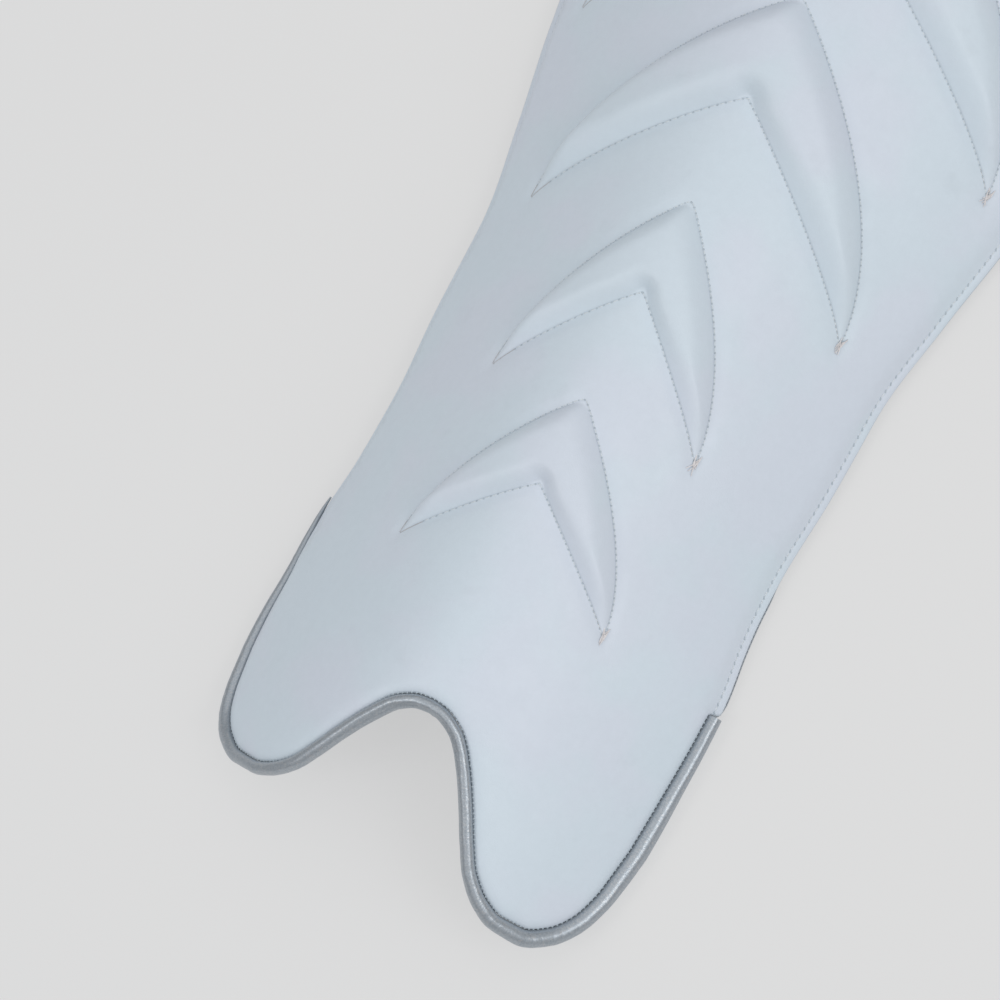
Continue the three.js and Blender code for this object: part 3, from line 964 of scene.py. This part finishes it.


# Painted shade: a small dark lens at each needle hole, and at each stitch bite along the piping's crease, stands in
# for the shade inside it
stitches, hole_shades = [], []
for number, arm in enumerate(v_arms):
    outward = -1 if number % 4 < 2 else 1
    pitch = LEFT_INNER_PITCH if number % 4 == 0 else V_PITCH
    start = {0: LEFT_INNER_TIGHT, 2: LEFT_OUTER_TIGHT}.get(number % 4, 0)
    line = resampled(shifted_line(arm, outward * V_STITCH_OFF)[start:], pitch / 2)
    frames = on_leather(line, V_STITCH_LIFT)
    hole_shades.append((frames[0::2], FAINT_HOLE_SHADE if number % 4 == 2 else V_HOLE_SHADE))
    stitches.append((frames[1::2], (V_STITCH[0] * pitch, *V_STITCH[1:])))
line = shifted_line(edge_line.points, EDGE_STITCH_IN)
line = line[line[:, 1] > SHOULDER_START]
frames = on_leather(resampled(line, EDGE_PITCH / 2), EDGE_STITCH_LIFT)
hole_shades.append((slanted(frames[0::2], EDGE_HOLE_SLANT), EDGE_HOLE_SHADE))
stitches.append((frames[1::2], EDGE_STITCH))
line = shifted_line(rim.points, BITE_IN, closed=True)
line = line[:int(np.argmax(rim.points[:, 1] > BITES_END))]
hole_shades.append((slanted(on_leather(resampled(line, BITE_PITCH), -BITE_SINK), math.pi / 2), BITE_HOLE_SHADE))


def swept(path, ups, offsets):
    """Rings of points along a path, closed at both ends. An offset goes out across the path, then up."""
    along = unit(np.gradient(path, axis=0))
    out = unit(np.cross(along, ups))
    up = np.cross(out, along)
    rings = path[:, None] + out[:, None] * offsets[..., :1] + up[:, None] * offsets[..., 1:]
    number = np.arange(rings.shape[0] * rings.shape[1]).reshape(rings.shape[:2])
    after = np.roll(number, -1, axis=1)
    quads = np.stack([number[:-1], after[:-1], after[1:], number[1:]], -1).reshape(-1, 4)
    return rings.reshape(-1, 3), quads.tolist() + [number[0, ::-1].tolist(), number[-1].tolist()]


def thread_tails():
    """The loose thread ends at the right tips, as frames along each of them."""
    t = np.linspace(0, 1, 12)
    for number, chevron in enumerate(CHEVRONS):
        tip = unrolled(*v_line_place(chevron, "outer", np.array(0.0), 1.0))
        for n in range(TAILS):
            chance = np.array([noise.noise(Vector((number * 3.1 + k * 7.7, n * 1.37, 0.5))) for k in range(4)])
            way = (-1) ** n
            start = -TAIL_SPAN + TAIL_SPAN * n / TAILS
            width = TIP_WIDTH + TIP_OPENS * max(0, -start)
            reach = start + (TAIL_SHORTEST + TAIL_LONGER * (0.5 + chance[0])) * t
            lean = TAIL_LEAN * chance[1]
            curl = TAIL_CURL * chance[2] * t ** 2
            x = tip[0] + width * way + (reach - start) * (lean - TAIL_SPLAY * way) + curl
            lift = TAIL_LIFT + (TAIL_ARCH + TAIL_HIGHER * abs(chance[3])) * np.sin(t * math.pi)
            yield on_leather(np.stack([x, tip[1] - reach], -1), lift)


def tight_threads():
    """The tight last stitches before the tips, on three of a chevron's four arms, as frames along each thread."""
    for number in range(0, len(v_arms), 4):
        tight = (
            (v_arms[number][:LEFT_INNER_TIGHT + 1], -1),
            (v_arms[number + 1][-RIGHT_INNER_TIGHT:-3], -1),
            (v_arms[number + 2][:LEFT_OUTER_TIGHT + 1], 1),
        )
        for arm, way in tight:
            yield on_leather(resampled(shifted_line(arm, way * V_STITCH_OFF), TIGHT_STEP), TIGHT_LIFT)


def joined(name, parts):
    """One mesh of several parts, each with its points and its faces."""
    vertices, faces, count = [], [], 0
    for points, part_faces in parts:
        vertices.append(points)
        faces += [[i + count for i in face] for face in part_faces]
        count += len(points)
    return new_object(name, np.concatenate(vertices), faces)


turn = np.linspace(0, 2 * math.pi, 7)[:-1]
circle = np.stack([np.cos(turn), np.sin(turn)], -1)


def threads(name, paths, radius):
    """One mesh of round threads, each along the frames of a path."""
    return joined(name, [swept(f[:, 0], f[:, 3], np.tile(circle * radius, (len(f), 1, 1))) for f in paths])


tails = threads("thread_ends", thread_tails(), TAIL_RADIUS)
tight = threads("tight_threads", tight_threads(), TIGHT_RADIUS)
seam_thread = scattered("seam_stitches", bead(6, 7, STITCH_DIVE), stitches)
painted_hole_shade = scattered("painted_hole_shade", bead(4, 8, 0.0), hole_shades)


def thread_material(name, color):
    """Twisted thread, with a soft uneven shade."""
    shader = Shader(name)
    place = shader.place()
    twist = shader.noise(place, 2600, 2)
    shade = twist.eased(0.3, 0.7, 0.86, 1.06)
    tinted = shader.node("ShaderNodeVectorMath", {"operation": "SCALE"}, {0: color, "Scale": shade})
    fray = shader.bump(twist, 0.0001)
    shader.plug(shader.surface, {"Base Color": tinted, "Roughness": 0.75, "Normal": fray})
    return shader.material


def faces_outward(piece):
    """Selects only this piece and turns all its faces outwards."""
    select_only(piece)
    bpy.ops.object.mode_set(mode="EDIT")
    bpy.ops.mesh.select_all(action="SELECT")
    bpy.ops.mesh.normals_make_consistent(inside=False)
    bpy.ops.object.mode_set(mode="OBJECT")


for piece, material in (
    (seam_thread, thread_material("off_white_thread", (0.72, 0.77, 0.80))),
    (tails, thread_material("cream_thread", (0.80, 0.77, 0.77))),
    (tight, thread_material("shaded_thread", (0.52, 0.51, 0.52))),
    (painted_hole_shade, thread_material("needle_hole_shade", (0.50, 0.57, 0.62))),
):
    piece.data.materials.append(material)
    faces_outward(piece)
    bpy.ops.object.shade_smooth()
    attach(piece, "root")


# The piping is a strip of silver foil leather, rolled round a cord and sewn over the foot rim. It is pinched a
# little where it bends, its left end runs out under the edge, and its right end is cut square.
PIPING_ROOT = 0.0029
PIPING_HALF_OUT = 0.0035
PIPING_HALF_UP = 0.0043
PIPING_SIZES = [
    {"share": 0.000, "size": 0.10},
    {"share": 0.055, "size": 0.52},
    {"share": 0.165, "size": 0.88},
    {"share": 0.230, "size": 0.98},
    {"share": 0.290, "size": 0.84},
    {"share": 0.390, "size": 0.84},
    {"share": 0.463, "size": 0.92},
    {"share": 0.574, "size": 0.86},
    {"share": 0.647, "size": 0.86},
    {"share": 0.700, "size": 1.02},
    {"share": 0.752, "size": 1.20},
    {"share": 0.803, "size": 1.26},
    {"share": 0.860, "size": 1.34},
    {"share": 0.949, "size": 1.10},
    {"share": 1.000, "size": 1.00},
]
PIPING_GAP = 0.0001
PIPING_STEP = 0.0009
PIPING_SIDES = 34
PIPING_SQUARENESS = 2.2
CRINKLE = 0.00012
RIPPLES = 420
SLOW_RIPPLES = 130
SLOW_RIPPLE_SHARE = 0.6
FURROW = 0.0006
FURROW_WIDTH = 0.42
FURROW_TURN = 0.9
FURROW_RISES = (0.38, 0.46)
FURROW_FADES = (0.54, 0.60)
PINCH_BENDS = (10, 45)
PINCH_LEAST = 0.35
# Past its plain size the piping grows less in height than in width
HEIGHT_BASE = 0.7
HEIGHT_GROWTH = 0.3
RIM_SAMPLES = 900
SIDE_SAMPLES = 80


def piping_path():
    """The rim that the piping is sewn over, evenly stepped, with the face's up at each point."""
    low = foot_station(np.array([-1.0, 1.0]))
    sines = np.sin(np.linspace(-1, 1, RIM_SAMPLES) * math.pi / 2)
    side = np.concatenate([np.full(SIDE_SAMPLES, -1.0), sines[1:-1], np.full(SIDE_SAMPLES, 1.0)])
    station = np.concatenate([
        np.linspace(LEFT_PIPING_END, low[0], SIDE_SAMPLES),
        foot_station(sines[1:-1]),
        np.linspace(low[1], PIPING_END, SIDE_SAMPLES),
    ])
    spread = side * rim_spread(station, side)
    root = point_above(spread, station, np.full(side.shape, -PIPING_ROOT))
    # The ups are made tiny, so that they are resampled too and add nothing to the length
    both = resampled(np.concatenate([root, face_normal(spread, station) * 1e-9], 1), PIPING_STEP)
    return both[:, :3], unit(both[:, 3:] * 1e9)


def averaged(values, reach):
    """Each row drawn to the mean of its neighbours, with the ends left as they are."""
    padded = np.concatenate([np.repeat(values[:1], reach, 0), values, np.repeat(values[-1:], reach, 0)])
    window = np.ones(2 * reach + 1) / (2 * reach + 1)
    return np.stack([np.convolve(padded[:, k], window, "valid") for k in range(values.shape[1])], -1)


def facing_up(rings):
    """How far each point of a tube faces up: 1 straight up and -1 straight down."""
    round_it = np.roll(rings, -1, axis=1) - np.roll(rings, 1, axis=1)
    return unit(np.cross(round_it, np.gradient(rings, axis=0)))[..., 2]


def make_piping():
    """The rolled strip, with its crinkles, its pinched bends and the furrow round the notch."""
    root, up = piping_path()
    up = unit(averaged(up, 6))
    along = unit(averaged(np.gradient(root, axis=0), 3))
    out = unit(np.cross(along, up))
    run = np.arange(len(root)) * PIPING_STEP
    share = run / run[-1]
    around = np.linspace(-math.pi, math.pi, PIPING_SIDES, endpoint=False)
    size = read_table(PIPING_SIZES, "share", "size", share)
    half_out = PIPING_HALF_OUT * size
    half_up = PIPING_HALF_UP * np.minimum(size, HEIGHT_BASE + HEIGHT_GROWTH * size)
    c, s = np.cos(around), np.sin(around)
    squared = 2 / PIPING_SQUARENESS
    offsets = np.stack([
        half_out[:, None] * np.sign(c) * np.abs(c) ** squared,
        half_up[:, None] * np.sign(s) * np.abs(s) ** squared,
    ], -1)
    bend = np.linalg.norm(np.gradient(along, axis=0), axis=1) / PIPING_STEP
    pinch = PINCH_LEAST + eased(bend, *PINCH_BENDS)
    ripple = np.array([[
        noise.noise(Vector((r * RIPPLES, a * 1.1, 3.0)))
        + SLOW_RIPPLE_SHARE * noise.noise(Vector((r * SLOW_RIPPLES, a * 1.6, 7.0)))
        for a in around] for r in run])
    furrow = eased(share, *FURROW_RISES) * (1 - eased(share, *FURROW_FADES))
    furrow = furrow[:, None] * np.exp(-((around - FURROW_TURN) / FURROW_WIDTH) ** 2)
    away = CRINKLE * pinch[:, None] * ripple - FURROW * furrow
    inner = eased(-np.cos(around), 0.2, 0.9)
    length = np.linalg.norm(offsets, axis=2, keepdims=True)
    offsets = offsets * (1 + np.minimum(away, away * (1 - inner))[..., None] / length)
    path = root + out * (half_out + PIPING_GAP)[:, None]
    points, faces = swept(path, up, offsets)
    piping = new_object("silver_piping", points, faces)
    add_values(
        piping, run=np.repeat(run, PIPING_SIDES), turn=np.tile(around * 0.004, len(run)),
        faces_up=facing_up(points.reshape(len(run), PIPING_SIDES, 3)).ravel(),
    )
    return piping


def foil_leather():
    """Silver foil on leather: bright and fine grained, crinkled across the strip, with painted shade greying it
    where it faces down.
    """
    shader = Shader("silver_foil_leather")
    run, turn = shader.value("run"), shader.value("turn")
    strip = shader.node("ShaderNodeCombineXYZ", sockets={0: run, 1: turn * 0.45, 2: 0.0})
    even = shader.node("ShaderNodeCombineXYZ", sockets={0: run, 1: turn, 2: 0.0})
    crinkle = shader.noise(strip, 1500, 3, 0.6)
    creases = shader.noise(strip, 420, 2, 0.5)
    sparkle = shader.cells(even, 2000, "Color")
    glint = shader.node("ShaderNodeSeparateColor", sockets={0: sparkle}, output=0)
    silver = shader.mix(crinkle.eased(0.30, 0.70), (0.66, 0.74, 0.82, 1), (0.85, 0.92, 0.99, 1))
    silver = shader.mix(glint.eased(0.76, 1.0, 0.0, 0.8), silver, (0.97, 0.98, 1.0, 1))
    # Painted shade: the foil's colour is darkened where the strip faces down, away from the light overhead
    painted_underside_shade = shader.value("faces_up").eased(0.0, 0.74, 0.50, 1.0)
    color = shader.node("ShaderNodeVectorMath", {"operation": "SCALE"}, {0: silver, "Scale": painted_underside_shade})
    rough = glint.eased(0.0, 1.0, 0.38, 0.28)
    normal = shader.bump(crinkle, 0.00009, under=shader.bump(creases, 0.00012))
    shader.plug(shader.surface, {"Base Color": color, "Metallic": 0.6, "Roughness": rough, "Normal": normal})
    return shader.material


piping = make_piping()
piping.data.materials.append(foil_leather())
faces_outward(piping)
bpy.ops.object.shade_smooth_by_angle(angle=math.radians(60))
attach(piping, "root")
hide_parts("instep_piping")


# The lining is a grey woven cloth, stretched behind the foam and sewn in along the rim. Its edge shows a little
# beyond the face's, and just above the piping on the right it is folded up.
LINING_GAP = 0.0004
LINING_THICKNESS = 0.002
LINING_SHOWS = 0.0008
LINING_LIP = 0.0012
LINING_SET_BACK = 0.002
LINING_COLUMNS = 101
LINING_ROWS = 241
LIP_OUT = 0.0002
FOLD_LENGTH = 0.006
FOLD_FADES = (0.185, 0.200)
SIDE_EDGE_POWER = 30
FOOT_EDGE_POWER = 24
TOP_EDGE_POWER = 40


def woven(name, first, second, threads, depth, roughness):
    """A plain weave, with its threads per metre, in two close shades."""
    shader = Shader(name)
    place = shader.place()
    axes = [shader.node("ShaderNodeSeparateXYZ", sockets={0: place}, output=k) for k in (0, 1)]
    warp = (axes[0] * (threads * math.pi)).wave()
    weft = (axes[1] * (threads * math.pi)).wave()
    weave = warp * weft
    wear = shader.noise(place, 60, 4, 0.6)
    color = shader.mix(weave.eased(-0.8, 0.8) * 0.6 + wear * 0.5, first, second)
    fuzz = shader.noise(place, 2400, 2)
    normal = shader.bump(weave.eased(-1.0, 1.0), depth, under=shader.bump(fuzz, 0.00008))
    shader.plug(shader.surface, {"Base Color": color, "Roughness": roughness, "Normal": normal})
    return shader.material


def lining_point(side, station, depth, lip):
    """A point of the lining. Its right edge is folded up against the face's edge, just above the piping."""
    starts = eased(station, SHOULDER_END, SHOULDER_END + FOLD_LENGTH)
    fold = lip * starts * (1 - eased(station, *FOLD_FADES)) * (side > 0)
    shows = (LINING_SHOWS + LIP_OUT * lip) * eased(station, SHOULDER_START, SHOULDER_END)
    spread = side * (rim_spread(station, side) + shows / half_width_at(station) * np.abs(side) ** SIDE_EDGE_POWER)
    return spread, point_above(spread, station, LINING_LIP * fold - depth)


side, station = wall_grid(LINING_COLUMNS, LINING_ROWS)
ends = [0, *range(LINING_COLUMNS), -1]
side, station = side[:, ends], station[:, ends]
lip = np.zeros(side.shape)
lip[:, [0, -1]] = 1
depth = pad_thickness(side, station) + LINING_GAP
share = np.linspace(0, 1, LINING_ROWS)[:, None]
station = station + LINING_SET_BACK * (1 - share) ** FOOT_EDGE_POWER + LINING_SHOWS * share ** TOP_EDGE_POWER
spread, outer = lining_point(side, station, depth, lip)
_, inner = lining_point(side, station, depth + LINING_THICKNESS, lip)
lining = new_object(
    "cloth_lining", np.concatenate([outer.reshape(-1, 3), inner.reshape(-1, 3)]),
    closed_wall(*side.shape),
)
select_only(lining)
bpy.ops.object.shade_smooth_by_angle(angle=math.radians(50))
lining.data.materials.append(
    woven("lining_cloth", (0.45, 0.48, 0.51, 1), (0.58, 0.61, 0.64, 1), 900, 0.00022, 0.85)
)
flat = unrolled(spread, station)
breadth = np.diff(flat[:, [1, -2], 0], axis=1)[:, 0]
lining_area = float((breadth[:-1] * np.diff(station[:, LINING_COLUMNS // 2])).sum())
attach(lining, "root")
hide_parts("back_lining")
float(station.max() - station.min())


# The three straps are bands of pale webbing across the open back. Each end is sewn under the wall, folds down and
# lies flat on whatever the guard lies on.
STRAP_THICKNESS = 0.0025
STRAP_WIDTH = 0.038
STRAP_SEWN = 0.024
STRAP_SEAT = 0.0011
STRAP_REACH = 0.93
STRAP_ROUNDING = 0.0005
STRAP_ROWS = 7
SEWN_POINTS = 9
FOLD_POINTS = 15
FLAT_POINTS = 26
STRAPS = [
    {"name": "ankle_strap", "station": 0.096},
    {"name": "calf_strap", "station": 0.262},
    {"name": "knee_strap", "station": 0.470},
]


def grid_piece(name, points):
    """A grid of quads through rows and columns of points."""
    rows, columns = points.shape[:2]
    bpy.ops.mesh.primitive_grid_add(x_subdivisions=columns - 1, y_subdivisions=rows - 1, size=1)
    made = bpy.context.object
    made.name = name
    made.data.vertices.foreach_set("co", points.astype(np.float32).ravel())
    made.data.update()
    return made


def thickened(piece, thickness, rounding):
    """Gives a sheet its thickness and soft edges, and smooths it."""
    solid = piece.modifiers.new("thickness", "SOLIDIFY")
    solid.thickness = thickness
    solid.offset = 0
    bevel = piece.modifiers.new("soft_edges", "BEVEL")
    bevel.width = rounding
    bevel.segments = 2
    bevel.angle_limit = math.radians(50)
    select_only(piece)
    bpy.ops.object.modifier_apply(modifier=solid.name)
    bpy.ops.object.modifier_apply(modifier=bevel.name)
    bpy.ops.object.shade_smooth_by_angle(angle=math.radians(40))


def strap_course(station):
    """The middle of a strap's thickness, from its left end to its right end."""
    reach = STRAP_REACH - STRAP_SEWN / half_width_at(station) * np.linspace(1, 0, SEWN_POINTS)
    at = np.full(reach.shape, station)
    depth = pad_thickness(reach, at) + LINING_GAP + LINING_THICKNESS + STRAP_SEAT + STRAP_THICKNESS / 2
    sewn = point_above(reach * rim_spread(at, reach), at, -depth)
    floor = STRAP_THICKNESS / 2
    radius = (sewn[-1, 2] - floor) / 2
    angle = math.pi * (0.5 - np.linspace(0, 1, FOLD_POINTS)[1:])
    fold = np.stack([
        sewn[-1, 0] + radius * np.cos(angle),
        np.full(angle.shape, sewn[-1, 1]),
        floor + radius * (1 + np.sin(angle)),
    ], -1)
    inward = np.linspace(fold[-1, 0], 0, FLAT_POINTS)[1:-1]
    flat = np.stack([inward, np.full(inward.shape, sewn[-1, 1]), np.full(inward.shape, floor)], -1)
    right = np.concatenate([sewn, fold, flat])
    return np.concatenate([right * (-1, 1, 1), [(0, sewn[-1, 1], floor)], right[::-1]])


webbing = woven("strap_webbing", (0.52, 0.55, 0.58, 1), (0.70, 0.73, 0.75, 1), 640, 0.0004, 0.7)
for strap in STRAPS:
    stations = strap["station"] + np.linspace(-0.5, 0.5, STRAP_ROWS) * STRAP_WIDTH
    band = grid_piece("woven_" + strap["name"], np.stack([strap_course(station) for station in stations]))
    thickened(band, STRAP_THICKNESS, STRAP_ROUNDING)
    band.data.materials.append(webbing)
    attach(band, "root")
    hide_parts(strap["name"])


# The studio is a plain pale floor under a wide soft sky, brighter overhead and to the right of the picture. Two
# square lights, a key and a weaker fill, shape the face.
FLOOR_GREY = 0.26
FLOOR_GLOW = 0.475
FLOOR_MOTTLE = 0.995
bpy.ops.mesh.primitive_plane_add(size=8)
floor = bpy.context.object
floor.name = "floor"
shader = Shader("pale_floor")
even = shader.noise(shader.place(), 3, 2).eased(0.2, 0.8, 0.0, 1.0)
floor_color = shader.mix(even, (FLOOR_GREY * FLOOR_MOTTLE,) * 3 + (1,), (FLOOR_GREY,) * 3 + (1,))
shader.plug(shader.surface, {
    "Base Color": floor_color, "Roughness": 0.9, "Specular IOR Level": 0.2,
    "Emission Color": (1, 1, 1, 1), "Emission Strength": FLOOR_GLOW,
})
floor.data.materials.append(shader.material)

SKY_TOP = 1.05
SKY_EDGE = 0.27
SKY_SIDE = 0.11
SKY_STRENGTH = 0.92
SKY_LESS_RED = 0.006
SKY_MORE_BLUE = 0.008
world = bpy.data.worlds.new("studio_sky")
world.use_nodes = True
bpy.context.scene.world = world
sky = Shader("sky", world.node_tree)
way = sky.node("ShaderNodeTexCoord", output="Generated")
height = sky.node("ShaderNodeSeparateXYZ", sockets={0: way}, output=2)
toward = sky.node("ShaderNodeVectorMath", {"operation": "DOT_PRODUCT"}, {0: way, 1: tuple(picture_right)}, "Value")
bright = height.eased(0.0, 1.0, SKY_EDGE, SKY_TOP) * (1 + toward * SKY_SIDE)
sky_sockets = {0: bright - SKY_LESS_RED, 1: bright, 2: bright + SKY_MORE_BLUE}
sky_color = sky.node("ShaderNodeCombineColor", sockets=sky_sockets)
background = world.node_tree.nodes["Background"]
sky.plug(background, {"Color": sky_color, "Strength": SKY_STRENGTH})


def soft_light(name, toward_right, toward_top, toward_camera, size, energy):
    """A square light, placed from the aim by the picture's own directions, and turned to the aim."""
    place = aim + picture_right * toward_right + picture_up * toward_top + to_camera * toward_camera
    facing = (aim - place).to_track_quat("-Z", "Y").to_euler()
    bpy.ops.object.light_add(type="AREA", location=place, rotation=facing)
    light = bpy.context.object
    light.name = name
    light.data.shape = "SQUARE"
    light.data.size = size
    light.data.energy = energy


soft_light("key_light", toward_right=1.2, toward_top=-0.4, toward_camera=1.9, size=1.2, energy=9.2)
soft_light("fill_light", toward_right=-1.4, toward_top=-0.2, toward_camera=1.3, size=0.6, energy=3.0)
bpy.context.scene.view_settings.view_transform = "Standard"
